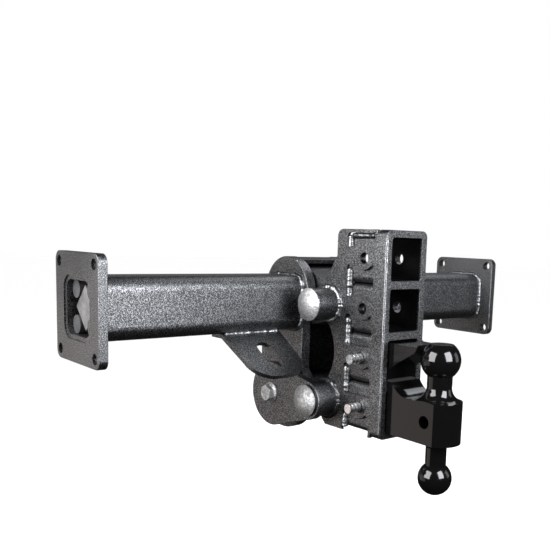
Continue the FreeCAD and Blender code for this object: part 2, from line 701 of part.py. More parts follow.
def mount_body():
    """The block between the receiver and the barrel, with its saddle under the upper ball."""
    width = MOUNT_HALF_WIDTH
    front = FACE_Y - SIDE_GAP
    block = box(-width, width, BALL_AXIS_Y, front, BARREL_BOTTOM, SHOULDER_TOP)
    saddle = rod(-width - 1, width + 1, SADDLE_Y, SADDLE_Z, SADDLE_RADIUS)
    beyond = box(-width - 1, width + 1, BALL_AXIS_Y - 1, SADDLE_Y, BARREL_TOP, SHOULDER_TOP + 1)
    return block.cut(saddle).cut(beyond)


def dual_ball_mount():
    """Two tow balls on one forged mount, with its shank in the lowest level."""
    level_z = LEVEL_Z[3]
    body = mount_body().fuse([turned_balls(), shank(level_z)]).removeSplitter()
    body = body.cut(rod(-SHANK, SHANK, HITCH_PIN_Y, level_z, SHANK_PIN_HOLE / 2))
    return body.cut(rod(-SHANK, SHANK, BALL_AXIS_Y, level_z, CROSS_HOLE / 2))


def pintle_lock():
    """Forked tongue behind the upper ball that keeps a lunette ring on, with its own shank."""
    level_z = LEVEL_Z[2]
    top = shank_centre(level_z) + SHANK / 2
    half = SHANK / 2
    root = FACE_Y - SIDE_GAP
    tip_low = top - LOCK_TIP_HEIGHT
    underside = tip_low - (root - LOCK_TIP_LOW_Y) * math.tan(math.radians(LOCK_UNDERSIDE_SLOPE))
    moves = [(LOCK_TIP_TOP_Y, top), (LOCK_TIP_LOW_Y, tip_low), (root, underside)]
    tongue = plate(-half, half, (root, top), moves)
    cut = Part.makeCylinder(LOCK_CUT_RADIUS, SHANK, vector(0, BALL_AXIS_Y, top - SHANK + 1))
    body = tongue.cut(cut).fuse(shank(level_z)).removeSplitter()
    return body.cut(rod(-SHANK, SHANK, HITCH_PIN_Y, level_z, SHANK_PIN_HOLE / 2))


# ---------------------------------------------------------------- lower arms

def lower_arm(side):
    """Link plate outside the bracket, its wide end set a little below the lower pivot."""
    low, high = side_span(side, LOWER_ARM_INNER, LOWER_ARM_OUTER)
    body = link_plate(low, high, 0, LOWER_PIVOT_Z - LOWER_ARM_BIG_DROP, LOWER_ARM_BIG_RADIUS,
                      PIN_Y, LOWER_PIN_Z, LOWER_ARM_SMALL_RADIUS)
    body = soften(body, EDGE, 0, low, high)
    body = body.cut(rod(low - 1, high + 1, 0, LOWER_PIVOT_Z, BOLT_RADIUS + BOLT_CLEARANCE))
    return body.cut(rod(low - 1, high + 1, PIN_Y, LOWER_PIN_Z, PIN_RADIUS + OPEN_PIVOT_CLEARANCE))


def pivot_sleeve():
    """Steel tube that joins the lower arms and turns in the pivot bushes."""
    return ring(-LOWER_ARM_INNER, LOWER_ARM_INNER, 0, LOWER_PIVOT_Z,
                SLEEVE_RADIUS, BOLT_RADIUS + BOLT_CLEARANCE)


def pivot_spacers():
    """Rings that fill the space between each bush flange and its arm."""
    rings = []
    for _, side in SIDES:
        inner = BRACKET_OUTER + BUSH_FLANGE_THICK + SIDE_GAP
        low, high = side_span(side, inner, LOWER_ARM_INNER)
        rings.append(ring(low, high, 0, LOWER_PIVOT_Z, SPACER_RADIUS, SLEEVE_RADIUS))
    return Part.makeCompound(rings)


def flanged_hexagon(side, height):
    """A hexagon with a round flange at its seat on the arm and a chamfered outer end."""
    seat = LOWER_ARM_OUTER
    low, high = side_span(side, seat, seat + height)
    outwards = vector(side, 0, 0)
    corner = BOLT_HEX_FLATS / math.sqrt(3)
    narrow = corner - BOLT_CHAMFER
    cone_base = vector(side * (seat - BOLT_CHAMFER), 0, LOWER_PIVOT_Z)
    cone = Part.makeCone(narrow + height + BOLT_CHAMFER, narrow, height + BOLT_CHAMFER, cone_base, outwards)
    body = hexagon(low, high, 0, LOWER_PIVOT_Z, BOLT_HEX_FLATS).common(cone)
    rim_base = vector(side * seat, 0, LOWER_PIVOT_Z)
    rim = Part.makeCylinder(BOLT_FLANGE_RADIUS, BOLT_FLANGE_RIM, rim_base, outwards)
    slope_base = vector(side * (seat + BOLT_FLANGE_RIM), 0, LOWER_PIVOT_Z)
    slope = Part.makeCone(BOLT_FLANGE_RADIUS, corner - BOLT_FLANGE_RIM,
                          BOLT_FLANGE_THICK - BOLT_FLANGE_RIM, slope_base, outwards)
    return body.fuse([rim, slope]).removeSplitter()


def pivot_bolt():
    """Flange bolt through both lower arms and the sleeve."""
    end = LOWER_ARM_OUTER + NUT_HEIGHT + BOLT_TAIL
    shaft = rod(-LOWER_ARM_OUTER - 1, end, 0, LOWER_PIVOT_Z, BOLT_RADIUS)
    shaft = shaft.makeChamfer(BOLT_CHAMFER, edges_on_plane(shaft, 0, end))
    return flanged_hexagon(-1, BOLT_HEAD_HEIGHT).fuse(shaft).removeSplitter()


def pivot_nut():
    body = flanged_hexagon(1, NUT_HEIGHT)
    low = LOWER_ARM_OUTER - 1
    return body.cut(rod(low, low + NUT_HEIGHT + 2, 0, LOWER_PIVOT_Z, BOLT_RADIUS))


# ---------------------------------------------------------------- hitch pins

def hitch_pin(level_z):
    """Round pin with a head on the right and two clip grooves on the left."""
    head_start = CHEEK_OUTER + SIDE_GAP
    head_end = head_start + HITCH_PIN_HEAD_THICK
    shaft = rod(HITCH_PIN_LEFT_END, head_end, HITCH_PIN_Y, level_z, HITCH_PIN_RADIUS)
    shaft = shaft.makeChamfer(FINE_EDGE, edges_on_plane(shaft, 0, HITCH_PIN_LEFT_END))
    head = rod(head_start, head_end, HITCH_PIN_Y, level_z, HITCH_PIN_HEAD_RADIUS)
    head = head.makeFillet(EDGE, edges_on_plane(head, 0, head_end))
    body = shaft.fuse(head).removeSplitter()
    for groove in HITCH_PIN_GROOVES:
        body = body.cut(ring(groove - HITCH_PIN_GROOVE_WIDTH / 2, groove + HITCH_PIN_GROOVE_WIDTH / 2,
                             HITCH_PIN_Y, level_z, HITCH_PIN_RADIUS + 1,
                             HITCH_PIN_RADIUS - HITCH_PIN_GROOVE_DEPTH))
    return body


def build():
    """All nodes by name."""
    nodes = {
        "bracket_cover": bracket_cover(),
        "pivot_housing": pivot_housing(),
        "torsion_bar": torsion_bar(),
        "upper_arm": upper_arm(),
        "receiver_collar": receiver_collar(),
        "dual_ball_mount": dual_ball_mount(),
        "pintle_lock": pintle_lock(),
        "pivot_sleeve": pivot_sleeve(),
        "pivot_spacers": pivot_spacers(),
        "pivot_bolt": pivot_bolt(),
        "pivot_nut": pivot_nut(),
        "hitch_pin_upper": hitch_pin(LEVEL_Z[2]),
        "hitch_pin_lower": hitch_pin(LEVEL_Z[3]),
    }
    upper_seat = UPPER_BOSS_END
    lower_seat = LOWER_ARM_OUTER + SIDE_GAP
    nodes["upper_pin"] = linkage_pin(upper_seat, UPPER_PIN_Z)
    nodes["upper_pin_cap"] = linkage_pin_cap(upper_seat, UPPER_PIN_Z)
    nodes["lower_pin"] = linkage_pin(lower_seat, LOWER_PIN_Z, LOWER_PIN_SHOULDER)
    nodes["lower_pin_cap"] = linkage_pin_cap(lower_seat, LOWER_PIN_Z, LOWER_PIN_SHOULDER)
    for level, level_z in enumerate(LEVEL_Z, start=1):
        nodes[f"receiver_tube_{level}"] = receiver_tube(level_z)
    for name, side in SIDES:
        nodes[f"cross_tube_{name}"] = cross_tube(side)
        nodes[f"end_plate_{name}"] = end_plate(side)
        nodes[f"bracket_plate_{name}"] = bracket_plate(side)
        nodes[f"hub_bush_{name}"] = hub_bush(side)
        nodes[f"pivot_bush_{name}"] = pivot_bush(side)
        nodes[f"rubber_cords_{name}"] = rubber_cords(side)
        nodes[f"chain_plate_{name}"] = chain_plate(side)
        nodes[f"eye_bush_{name}"] = eye_bush(side)
        nodes[f"cheek_{name}"] = cheek(side)
        nodes[f"upper_boss_{name}"] = boss(side, UPPER_PIN_Z, UPPER_BOSS_RADIUS, UPPER_BOSS_END)
        nodes[f"lower_boss_{name}"] = boss(side, LOWER_PIN_Z, LOWER_BOSS_RADIUS,
                                           LOWER_ARM_INNER - SIDE_GAP)
        nodes[f"lower_arm_{name}"] = lower_arm(side)
    return nodes


os.makedirs("parts", exist_ok=True)
for node, shape in sorted(build().items()):
    shape.exportStep(f"parts/{node}.step")
    size = shape.BoundBox
    print(f"{node}: {len(shape.Solids)} solid(s), valid {shape.isValid()}, {shape.Volume / 1000:.1f} cm3,"
          f" {size.XLength:.1f} x {size.YLength:.1f} x {size.ZLength:.1f}")
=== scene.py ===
"""Looks of the weight distribution hitch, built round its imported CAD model.

Metres, in the CAD frame: the origin is on the torsion bar's axis half-way along the crossmember,
+X along the crossmember, +Z up and -Y to the rear of the vehicle, where the receiver opens.
"""

import json
import math

import bmesh
import bpy
from mathutils import Matrix, Vector, noise


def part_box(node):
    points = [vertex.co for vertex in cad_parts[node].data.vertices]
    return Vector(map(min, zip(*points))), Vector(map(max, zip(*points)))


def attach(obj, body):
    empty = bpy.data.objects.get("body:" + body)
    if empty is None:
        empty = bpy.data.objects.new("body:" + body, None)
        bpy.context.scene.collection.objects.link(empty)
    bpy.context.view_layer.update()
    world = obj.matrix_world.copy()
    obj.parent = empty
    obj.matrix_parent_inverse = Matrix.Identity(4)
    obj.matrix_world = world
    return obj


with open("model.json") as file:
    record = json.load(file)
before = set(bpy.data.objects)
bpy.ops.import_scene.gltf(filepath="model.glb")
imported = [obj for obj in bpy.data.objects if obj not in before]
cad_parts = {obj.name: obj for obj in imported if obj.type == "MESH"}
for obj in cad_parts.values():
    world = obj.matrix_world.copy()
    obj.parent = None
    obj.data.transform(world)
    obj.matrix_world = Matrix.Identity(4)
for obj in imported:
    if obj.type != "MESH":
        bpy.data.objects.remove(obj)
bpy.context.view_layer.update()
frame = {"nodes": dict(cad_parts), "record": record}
nodes = frame["nodes"]
SIDES = (("left", -1), ("right", 1))
TUBE_NUMBERS = range(1, 5)
MM = 0.001


# ---------------------------------------------------------------- sizes read from the frame

def low(node):
    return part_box(node)[0]


def high(node):
    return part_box(node)[1]


def node_centre(node):
    corner_low, corner_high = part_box(node)
    return (corner_low + corner_high) / 2


TUBE_HALF = high("cross_tube_left").z
TUBE_CORNER = 20.0 * MM
PLATE_INNER = -high("end_plate_left").x
BRACKET_OUTER = -low("bracket_plate_left").x
CHEEK_INNER = -high("cheek_left").x
CHEEK_OUTER = -low("cheek_left").x
OPENING_HALF = 31.9 * MM
OPENING_FRONT = low("receiver_collar").y + 3.5 * MM
OPENING_REAR = high("receiver_tube_1").y + 1.0 * MM


# ---------------------------------------------------------------- materials

class Graph:
    """A material's node tree, with a short way to add nodes."""

    def __init__(self, name):
        self.material = bpy.data.materials.new(name)
        self.material.use_nodes = True
        self.tree = self.material.node_tree
        self.shader = self.tree.nodes["Principled BSDF"]
        coordinates = self.tree.nodes.new("ShaderNodeTexCoord")
        self.place = coordinates.outputs["Object"]

    def add(self, kind, settings=None, **inputs):
        """A node. A value that is an output socket is linked, and any other value is set."""
        made = self.tree.nodes.new(kind)
        for key, value in (settings or {}).items():
            setattr(made, key, value)
        for key, value in inputs.items():
            self.put(made.inputs[key.replace("_", " ")], value)
        return made

    def put(self, socket, value):
        if isinstance(value, bpy.types.NodeSocket):
            self.tree.links.new(value, socket)
        else:
            socket.default_value = value

    def noise(self, scale, detail, roughness, place=None):
        """Noise with about so many lumps to the metre."""
        made = self.add("ShaderNodeTexNoise", Vector=place or self.place, Scale=scale,
                        Detail=detail, Roughness=roughness)
        return made.outputs["Fac"]

    def cells(self, scale):
        made = self.add("ShaderNodeTexVoronoi", Vector=self.place, Scale=scale)
        return made.outputs["Distance"]

    def remap(self, value, low, high, out_low=0.0, out_high=1.0):
        made = self.add("ShaderNodeMapRange", {"interpolation_type": "SMOOTHSTEP"}, Value=value)
        for key, number in zip(("From Min", "From Max", "To Min", "To Max"),
                               (low, high, out_low, out_high)):
            made.inputs[key].default_value = number
        return made.outputs["Result"]

    def math(self, operation, first, second=0.0):
        made = self.add("ShaderNodeMath", {"operation": operation})
        self.put(made.inputs[0], first)
        self.put(made.inputs[1], second)
        return made.outputs["Value"]

    def mix(self, factor, first, second):
        made = self.add("ShaderNodeMix", {"data_type": "RGBA"})
        self.put(made.inputs["Factor"], factor)
        self.put(made.inputs["A"], first)
        self.put(made.inputs["B"], second)
        return made.outputs["Result"]

    def scaled(self, x, y, z):
        """The object coordinates, stretched along each axis."""
        made = self.add("ShaderNodeMapping", Vector=self.place)
        made.inputs["Scale"].default_value = (x, y, z)
        return made.outputs["Vector"]

    def receiver_shade_mask(self):
        """1 on the walls inside the receiver's tubes and 0 elsewhere: the mask of the painted shade
        there.
        """
        split = self.add("ShaderNodeSeparateXYZ", Vector=self.place)
        across = self.math("LESS_THAN", self.math("ABSOLUTE", split.outputs["X"]), OPENING_HALF)
        behind = self.math("GREATER_THAN", split.outputs["Y"], OPENING_FRONT)
        before = self.math("LESS_THAN", split.outputs["Y"], OPENING_REAR)
        return self.math("MULTIPLY", across, self.math("MULTIPLY", behind, before))

    def bump(self, height, distance, strength=1.0):
        """Bumps so many metres high."""
        made = self.add("ShaderNodeBump", Height=height, Distance=distance, Strength=strength)
        return made.outputs["Normal"]

    def surface(self, **inputs):
        for key, value in inputs.items():
            self.put(self.shader.inputs[key.replace("_", " ")], value)
        return self.material


def grey(value, warm=0.0):
    """A grey, reddened by a share of its value, or made bluer by a negative share."""
    return (value * (1 + warm), value, value * (1 - warm), 1.0)


def powder_coat(name, dark, fleck, roughness, lumps, gloss=0.0):
    """Hammered charcoal coat: a dark ground with fine silver flecks and shallow lumps. Inside the
    receiver's tubes it is painted near black, a painted shade for the deep recess."""
    g = Graph(name)
    grain = g.noise(780.0, 2.0, 0.55)
    lump = g.noise(430.0, 2.0, 0.5)
    cloud = g.noise(11.0, 3.0, 0.5)
    flecks = g.remap(grain, 0.48, 0.62)
    ground = g.mix(cloud, grey(dark * 0.8, -0.02), grey(dark * 1.2, -0.02))
    colour = g.mix(flecks, ground, grey(fleck, -0.02))
    # painted shade: the walls inside the receiver's tubes are painted near black
    colour = g.mix(g.receiver_shade_mask(), colour, grey(0.02))
    height = g.math("ADD", g.math("MULTIPLY", lump, 0.6), g.math("MULTIPLY", grain, 1.1))
    drift = g.math("ADD", cloud, g.math("MULTIPLY", flecks, -0.4))
    return g.surface(
        Base_Color=colour,
        Metallic=g.remap(flecks, 0.0, 1.0, 0.94, 1.0),
        Roughness=g.remap(drift, 0.0, 0.9, roughness - 0.06, roughness + 0.06),
        Normal=g.bump(height, lumps),
        Coat_Weight=gloss,
        Coat_Roughness=0.22,
    )


def zinc_plate(name):
    """Zinc plate with blotches and small dents."""
    g = Graph(name)
    blotch = g.noise(210.0, 5.0, 0.7)
    spots = g.cells(420.0)
    dents = g.noise(95.0, 3.0, 0.6)
    colour = g.mix(g.remap(blotch, 0.40, 0.60), grey(0.30, 0.01), grey(0.54, -0.01))
    return g.surface(
        Base_Color=colour,
        Metallic=1.0,
        Roughness=g.remap(blotch, 0.3, 0.7, 0.62, 0.46),
        Normal=g.bump(g.math("ADD", g.math("MULTIPLY", dents, 1.4), spots), 0.0006, 0.9),
    )


def turned_stainless(name):
    """Stainless bar turned in a lathe: fine rings round the X axis."""
    g = Graph(name)
    rings = g.noise(1.0, 2.0, 0.5, g.scaled(5200.0, 60.0, 60.0))
    haze = g.noise(130.0, 3.0, 0.6)
    return g.surface(
        Base_Color=g.mix(g.remap(haze, 0.3, 0.7), grey(0.74, -0.01), grey(0.93, -0.01)),
        Metallic=1.0,
        Roughness=g.remap(rings, 0.3, 0.7, 0.16, 0.30),
        Normal=g.bump(rings, 0.00002, 0.6),
    )


def gloss_coat(name):
    """Gloss black coat with a trace of orange peel and dust."""
    g = Graph(name)
    peel = g.noise(210.0, 2.0, 0.5)
    dust = g.remap(g.noise(900.0, 3.0, 0.6), 0.62, 0.75)
    return g.surface(
        Base_Color=g.mix(dust, grey(0.0025), grey(0.008)),
        Roughness=g.remap(g.noise(30.0, 3.0, 0.6), 0.3, 0.7, 0.09, 0.15),
        Normal=g.bump(peel, 0.00006, 0.5),
        Specular_IOR_Level=0.35,
        Coat_Weight=0.3,
        Coat_Roughness=0.05,
    )


def rubber(name):
    """Black rubber with a patchy grey bloom."""
    g = Graph(name)
    bloom = g.noise(70.0, 4.0, 0.6)
    return g.surface(
        Base_Color=g.mix(g.remap(bloom, 0.3, 0.7), grey(0.022, -0.04), grey(0.045, -0.04)),
        Roughness=g.remap(bloom, 0.3, 0.7, 0.6, 0.75),
        Specular_IOR_Level=0.35,
        Normal=g.bump(g.noise(600.0, 3.0, 0.6), 0.0001, 0.6),
    )


def bush_plastic(name):
    """Black moulded plastic with a fine grain."""
    g = Graph(name)
    grain = g.noise(800.0, 2.0, 0.5)
    return g.surface(
        Base_Color=g.mix(grain, grey(0.03), grey(0.05)),
        Roughness=g.remap(grain, 0.2, 0.8, 0.38, 0.5),
        Normal=g.bump(grain, 0.00004, 0.5),
    )


def bare_steel(name):
    """Hot-rolled steel with mill scale and saw marks across its ends."""
    g = Graph(name)
    scale_marks = g.noise(60.0, 5.0, 0.65)
    saw = g.noise(1.0, 3.0, 0.6, g.scaled(40.0, 90.0, 1700.0))
    return g.surface(
        Base_Color=g.mix(g.remap(scale_marks, 0.35, 0.65), grey(0.16), grey(0.26)),
        Metallic=0.85,
        Roughness=g.remap(saw, 0.3, 0.7, 0.38, 0.55),
        Normal=g.bump(saw, 0.00008, 0.7),
    )


MATERIALS = {
    "hammered_coat": powder_coat("hammered_coat", 0.050, 0.30, 0.34, 0.00042),
    # the beads' coat: the hammered coat painted lighter, with brighter flecks, as a painted
    # highlight, and glossier
    "painted_highlight_coat": powder_coat("painted_highlight_coat", 0.12, 0.46, 0.36, 0.0004, gloss=0.4),
    "zinc": zinc_plate("zinc_plate"),
    "stainless": turned_stainless("stainless_bar"),
    "gloss_black": gloss_coat("gloss_coat"),
    "rubber": rubber("cord_rubber"),
    "bush_plastic": bush_plastic("bush_plastic"),
    "bare_steel": bare_steel("mill_steel"),
}


def dress_frame():
    """Give every CAD node the material of its slot."""
    slots = {entry["node"]: entry["material_slot"] for entry in frame["record"]["subparts"]}
    for name, item in nodes.items():
        for place in item.material_slots:
            place.material = MATERIALS[slots[name]]


# ---------------------------------------------------------------- pieces and weld beads

BEAD_STEP = 0.9 * MM
BEAD_SIDES = 14
RIPPLE_PITCH = 2.8 * MM
RIPPLE_LAG = 0.45
WANDER_SCALE = 95.0
BLOB_SCALE = 260.0
PLAIN_SHARE = 0.88
RIPPLE_SHARE = 0.14
WANDER_SHARE = 0.30
BLOB_SHARE = 0.24
WINDOW_BELOW_HOLE = 11.0 * MM
WINDOW_ABOVE_HOLE = 18.0 * MM
END_PLATE_BEAD = 3.6 * MM
BRACKET_BEAD = 3.4 * MM
BRACKET_FRONT_BEAD = 4.8 * MM
BRACKET_FRONT_PROUD = 0.8 * MM
BRACKET_FRONT_POINTS = slice(13, 24)
CHAIN_BEAD = 3.6 * MM
CHAIN_CREASE_Y = -34.5 * MM
CHAIN_CREASE_Z = -44.3 * MM
CHAIN_END_GAP = 3 * MM
COVER_BEAD = 2.2 * MM
COVER_SEAM_Z = (64.5, 67.0, 69.5)
COVER_SEAM_INSET = 0.6 * MM
ARCH_BEAD = 1.7 * MM
ARCH_RADIUS = 57.0 * MM
ARCH_Y = 1.0 * MM
ARCH_INSET = 0.6 * MM
ARCH_TURNS = (112, 115, 118, 121)
HOUSING_BEAD = 3.4 * MM
BOSS_BEAD = 5.8 * MM
WINDOW_BEAD = 5.6 * MM
WINDOW_BEAD_INSET = 1.2 * MM
TOP_BEAD = 4.2 * MM
TOP_BEAD_INSET = 0.5 * MM
TOP_BEAD_DROP = 4.5 * MM
RING_STEPS = 48
CORNER_STEPS = 8


def add_piece(name, body, mesh, coat):
    """A visible piece that moves with a body and wears one of the materials."""
    piece = bpy.data.objects.new(name, mesh)
    bpy.context.scene.collection.objects.link(piece)
    mesh.materials.append(MATERIALS[coat])
    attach(piece, body)


def resample(points, closed):
    """Points one bead step apart along a line of points."""
    line = list(points)
    if closed:
        line.append(line[0])
    total = sum((b - a).length for a, b in zip(line, line[1:]))
    count = max(6, round(total / BEAD_STEP))
    steps = count if closed else count + 1
    made = []
    index = 0
    passed = 0.0
    for number in range(steps):
        target = total * number / count
        while index < len(line) - 2 and passed + (line[index + 1] - line[index]).length < target:
            passed += (line[index + 1] - line[index]).length
            index += 1
        span = (line[index + 1] - line[index]).length
        share = (target - passed) / span if span > 0 else 0.0
        made.append(line[index].lerp(line[index + 1], min(max(share, 0.0), 1.0)))
    return made, total


# By default a bead wears the lighter coat, whose colour is a painted highlight.
def weld_bead(name, body, points, radius, closed=False, out=None, seed=1, coat="painted_highlight_coat"):
    """A rippled, uneven bead along a line. Its centre lies on the line, so that the joined pieces
    hide the half that is inside them."""
    line, total = resample(points, closed)
    count = len(line)
    vertices = []
    for index, centre in enumerate(line):
        ahead = line[(index + 1) % count] if closed or index < count - 1 else centre
        behind = line[index - 1] if closed or index > 0 else centre
        along = (ahead - behind).normalized()
        outward = Vector(out) if out else Vector((0.0, 0.0, 1.0))
        first = (outward - along * outward.dot(along)).normalized()
        second = along.cross(first)
        travelled = total * index / max(count - (0 if closed else 1), 1)
        end_fade = 1.0
        if not closed:
            gap = min(travelled, total - travelled) / radius
            end_fade = math.sqrt(max(0.02, 1 - max(0.0, 1 - gap) ** 2))
        wander = noise.noise(centre * WANDER_SCALE + Vector((seed * 7.3, 0, 0)))
        blob = noise.noise(centre * BLOB_SCALE + Vector((0, seed * 3.1, 0)))
        for side in range(BEAD_SIDES):
            turn = 2 * math.pi * side / BEAD_SIDES
            lag = RIPPLE_LAG * math.cos(turn * 2)
            ripple = abs(math.sin(math.pi * (travelled / RIPPLE_PITCH + lag)))
            uneven = PLAIN_SHARE + RIPPLE_SHARE * ripple + WANDER_SHARE * wander + BLOB_SHARE * blob
            size = radius * end_fade * uneven
            offset = first * math.cos(turn) + second * math.sin(turn)
            vertices.append(centre + offset * size)
    faces = []
    rings = count if closed else count - 1
    for index in range(rings):
        here = index * BEAD_SIDES
        there = ((index + 1) % count) * BEAD_SIDES
        for side in range(BEAD_SIDES):
            after = (side + 1) % BEAD_SIDES
            faces.append((here + side, here + after, there + after, there + side))
    if not closed:
        faces.append(tuple(range(BEAD_SIDES - 1, -1, -1)))
        last = (count - 1) * BEAD_SIDES
        faces.append(tuple(range(last, last + BEAD_SIDES)))
    mesh = bpy.data.meshes.new(name)
    mesh.from_pydata(vertices, [], faces)
    mesh.shade_smooth()
    mesh.update()
    add_piece(name, body, mesh, coat)


def square_ring(x, half, corner):
    """Points round a rounded square in the plane of an X value."""
    points = []
    for quarter in range(4):
        middle = math.radians(45 + 90 * quarter)
        centre_y = math.copysign(half - corner, math.cos(middle))
        centre_z = math.copysign(half - corner, math.sin(middle))
        for step in range(CORNER_STEPS + 1):
            angle = math.radians(90 * quarter + 90 * step / CORNER_STEPS)
            points.append(Vector((x, centre_y + corner * math.cos(angle),
                                  centre_z + corner * math.sin(angle))))
    return points


def round_ring(x, centre, radius):
    """Points round a circle in the plane of an X value."""
    points = []
    for step in range(RING_STEPS):
        angle = 2 * math.pi * step / RING_STEPS
        points.append(Vector((x, centre.y + radius * math.cos(angle),
                              centre.z + radius * math.sin(angle))))
    return points


def weld_crossmember():
    """Beads where the tubes meet the end plates and the bracket, and over the chain plates. The
    bracket's bead is thicker down its front, where it wears the lighter coat as a painted
    highlight."""
    for name, side in SIDES:
        weld_bead(f"weld_end_plate_{name}", "crossmember",
                  square_ring(side * PLATE_INNER, TUBE_HALF, TUBE_CORNER), END_PLATE_BEAD,
                  closed=True, out=(side, 0, 0), seed=2 + side)
        weld_bead(f"weld_bracket_{name}", "crossmember",
                  square_ring(side * BRACKET_OUTER, TUBE_HALF, TUBE_CORNER), BRACKET_BEAD,
                  closed=True, out=(side, 0, 0), seed=6 + side, coat="hammered_coat")
        ring = square_ring(side * (BRACKET_OUTER + BRACKET_FRONT_PROUD), TUBE_HALF, TUBE_CORNER)
        weld_bead(f"weld_bracket_front_{name}", "crossmember", ring[BRACKET_FRONT_POINTS],
                  BRACKET_FRONT_BEAD, out=(side, 0, 0), seed=71 + side)
        chain_low, chain_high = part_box(f"chain_plate_{name}")
        ends = sorted((abs(chain_low.x), abs(chain_high.x)))
        crease = [Vector((side * x, CHAIN_CREASE_Y, CHAIN_CREASE_Z)) for x in
                  (ends[0] + CHAIN_END_GAP, (ends[0] + ends[1]) / 2, ends[1] - CHAIN_END_GAP)]
        weld_bead(f"weld_chain_plate_{name}", "crossmember", crease, CHAIN_BEAD,
                  out=(0, 0, -1), seed=21 + side)


def weld_cover():
    """Beads at the cover's front end and arch, and round the pivot housing's ends."""
    cover_low, cover_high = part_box("bracket_cover")
    for name, side in SIDES:
        face = side * cover_high.x
        front = cover_low.y
        seam = [Vector((face, front + COVER_SEAM_INSET, z * MM)) for z in COVER_SEAM_Z]
        weld_bead(f"weld_cover_{name}", "crossmember", seam, COVER_BEAD, out=(side, 0, 0),
                  seed=31 + side)
        centre = Vector((side * (BRACKET_OUTER - ARCH_INSET), ARCH_Y,
                         high(f"bracket_plate_{name}").z - ARCH_RADIUS))
        edge = [centre + Vector((0, math.cos(math.radians(turn)) * ARCH_RADIUS,
                                 math.sin(math.radians(turn)) * ARCH_RADIUS))
                for turn in ARCH_TURNS]
        # a short bead in the lighter coat on the arch's edge, placed at a small glint: a painted
        # highlight
        weld_bead(f"weld_arch_{name}", "crossmember", edge, ARCH_BEAD, out=(side, 0, 0),
                  seed=35 + side)
        housing = node_centre("pivot_housing")
        reach = (high("pivot_housing").y - low("pivot_housing").y) / 2
        weld_bead(f"weld_housing_{name}", "crossmember", round_ring(face, housing, reach),
                  HOUSING_BEAD, closed=True, out=(side, 0, 0), seed=41 + side)


def weld_receiver():
    """Beads round the bosses, down the rear ends of the tubes inside the cheek windows, and along
    the highest window's top."""
    for level in ("upper", "lower"):
        for name, side in SIDES:
            node = f"{level}_boss_{name}"
            radius = (high(node).y - low(node).y) / 2
            # the upper bosses' beads wear the lighter coat, a painted highlight; the lower ones
            # keep the plain coat
            weld_bead(f"weld_{node}", "receiver",
                      round_ring(side * CHEEK_OUTER, node_centre(node), radius), BOSS_BEAD,
                      closed=True, out=(side, 0, 0), seed=11 + side,
                      coat="painted_highlight_coat" if level == "upper" else "hammered_coat")
    levels = [node_centre(f"receiver_tube_{number}").z for number in TUBE_NUMBERS]
    tops = [high("receiver_tube_1").z] + [z - WINDOW_BELOW_HOLE for z in levels]
    bottoms = [z + WINDOW_ABOVE_HOLE for z in levels] + [low("cheek_left").z]
    rear = high("receiver_tube_1").y
    for name, side in SIDES:
        for number, (top, bottom) in enumerate(zip(tops, bottoms), start=1):
            foot = max(bottom - 5 * MM, bottoms[-1] + 4 * MM)
            seam = [Vector((side * (CHEEK_INNER + WINDOW_BEAD_INSET), rear, z)) for z in
                    (foot, (top + foot) / 2, top - 4 * MM)]
            weld_bead(f"weld_window_{name}_{number}", "receiver", seam, WINDOW_BEAD,
                      out=(side, 0, 0), seed=50 + 3 * number + side)
        front = low("receiver_tube_1").y
        ridge = [Vector((side * (CHEEK_INNER + TOP_BEAD_INSET), y, tops[0] - TOP_BEAD_DROP))
                 for y in (front + 6 * MM, (front + rear) / 2, rear - 2 * MM)]
        weld_bead(f"weld_top_{name}", "receiver", ridge, TOP_BEAD, out=(side, 0, 0),
                  seed=80 + side, coat="hammered_coat")


# ---------------------------------------------------------------- plate details

LOBE_RADIUS = 18.5 * MM
LOBE_HOLE = 10.5 * MM
LOBE_STEPS = 40
LOBE_START = 190
LOBE_SWEEP = 160
LOBE_CHAMFER = 1.2 * MM
LOBE_BELOW_FACE = 0.15 * MM
LOBE_INSET = 0.5 * MM
STRIP_RADIUS = 2.6 * MM
STRIP_PROUD = 0.2 * MM
STRIP_INSET = 12 * MM
STRIP_ROWS = 60
STRIP_SIDES = 8
STRIP_SWELL = 0.05


def plate_piece(name, body, outline, faces_x, chamfer):
    """A flat plate between two X values, from an outline of (y, z, y inset, z inset) points, with
    its outer edge chamfered."""
    vertices = []
    faces = []
    inner_x, outer_x = faces_x
    reach = outer_x - inner_x
    count = len(outline)
    for share, inset in ((0.0, 0.0), (1.0 - chamfer / abs(reach), 0.0), (1.0, chamfer)):
        for y, z, inset_y, inset_z in outline:
            vertices.append((inner_x + reach * share, y + inset_y * inset, z + inset_z * inset))
    for ring in range(2):
        for index in range(count):
            after = (index + 1) % count
            low_row, high_row = ring * count, (ring + 1) * count
            faces.append((low_row + index, low_row + after, high_row + after, high_row + index))
    faces.append(tuple(range(count)))
    faces.append(tuple(range(3 * count - 1, 2 * count - 1, -1)))
    mesh = bpy.data.meshes.new(name)
    mesh.from_pydata(vertices, [], faces)
    work = bmesh.new()
    work.from_mesh(mesh)
    bmesh.ops.recalc_face_normals(work, faces=work.faces)
    work.to_mesh(mesh)
    work.free()
    add_piece(name, body, mesh, "hammered_coat")


def lobe_outline(centre_y, centre_z):
    """Half ring under a hitch-pin hole."""
    outline = []
    forward = range(LOBE_STEPS + 1)
    for radius, turns, sign in ((LOBE_RADIUS, forward, -1), (LOBE_HOLE, reversed(forward), 1)):
        for step in turns:
            angle = math.radians(LOBE_START + LOBE_SWEEP * step / LOBE_STEPS)
            y, z = math.cos(angle), math.sin(angle)
            outline.append((centre_y + radius * y, centre_z + radius * z, sign * y, sign * z))
    return outline


